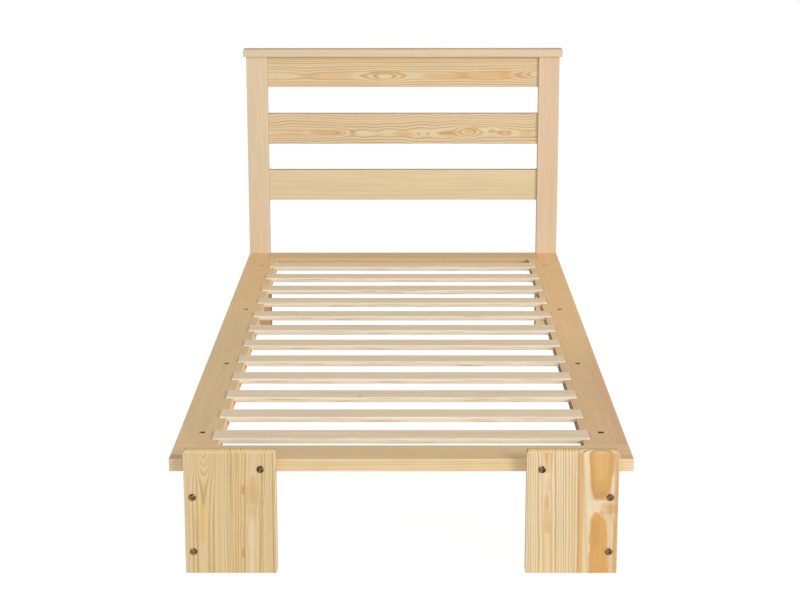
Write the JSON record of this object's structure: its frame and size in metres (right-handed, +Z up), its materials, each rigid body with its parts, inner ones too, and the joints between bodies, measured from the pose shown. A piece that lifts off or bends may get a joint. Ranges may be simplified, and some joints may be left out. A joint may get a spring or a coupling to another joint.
{
  "type": "slatted bed frame",
  "caption": "Low pine bed frame: flat side rails with housed slats, standing foot planks, and a slatted headboard with a cap between posts that are the rear legs.",
  "frame": {"origin": "centre of the footprint on the floor", "axes": "+Y along the bed from the foot to the head, +Z up, +X to the right seen from the foot"},
  "size_m": [0.956, 2.0882, 0.857],
  "materials": {
    "pine_rails": "clear satin, planed",
    "pine_slats": "bare, planed",
    "pine_boards": "clear satin, planed",
    "beech_dowels": "bare",
    "bronze_fasteners": "antique bronze plating",
    "zinc_fasteners": "zinc plating"
  },
  "bodies": {
    "root": {"foot_rail": "pine_rails", "side_rail_left": "pine_rails", "side_rail_right": "pine_rails", "head_cross_rail": "pine_rails", "side_beam_left": "pine_rails", "side_beam_right": "pine_rails", "foot_leg_left": "pine_rails", "foot_leg_right": "pine_rails", "foot_plank_left": "pine_boards", "foot_plank_right": "pine_boards", "head_post_left": "pine_boards", "head_post_right": "pine_boards", "headboard_slat_top": "pine_boards", "headboard_slat_middle": "pine_boards", "headboard_slat_bottom": "pine_boards", "headboard_cap": "pine_boards", "slat_01": "pine_slats", "slat_02": "pine_slats", "slat_03": "pine_slats", "slat_04": "pine_slats", "slat_05": "pine_slats", "slat_06": "pine_slats", "slat_07": "pine_slats", "slat_08": "pine_slats", "slat_09": "pine_slats", "slat_10": "pine_slats", "slat_11": "pine_slats", "slat_12": "pine_slats", "plank_bolts_left": "bronze_fasteners", "plank_bolts_right": "bronze_fasteners", "rail_screws_left": "bronze_fasteners", "rail_screws_right": "bronze_fasteners", "post_bolts_left": "zinc_fasteners", "post_bolts_right": "zinc_fasteners", "foot_barrel_nuts": "zinc_fasteners", "head_barrel_nuts": "zinc_fasteners", "lap_screws": "zinc_fasteners", "side_rail_dowels": "beech_dowels", "foot_rail_dowels": "beech_dowels", "leg_dowels": "beech_dowels", "headboard_dowels": "beech_dowels", "cap_dowels": "beech_dowels"}
  },
  "joints": []
}
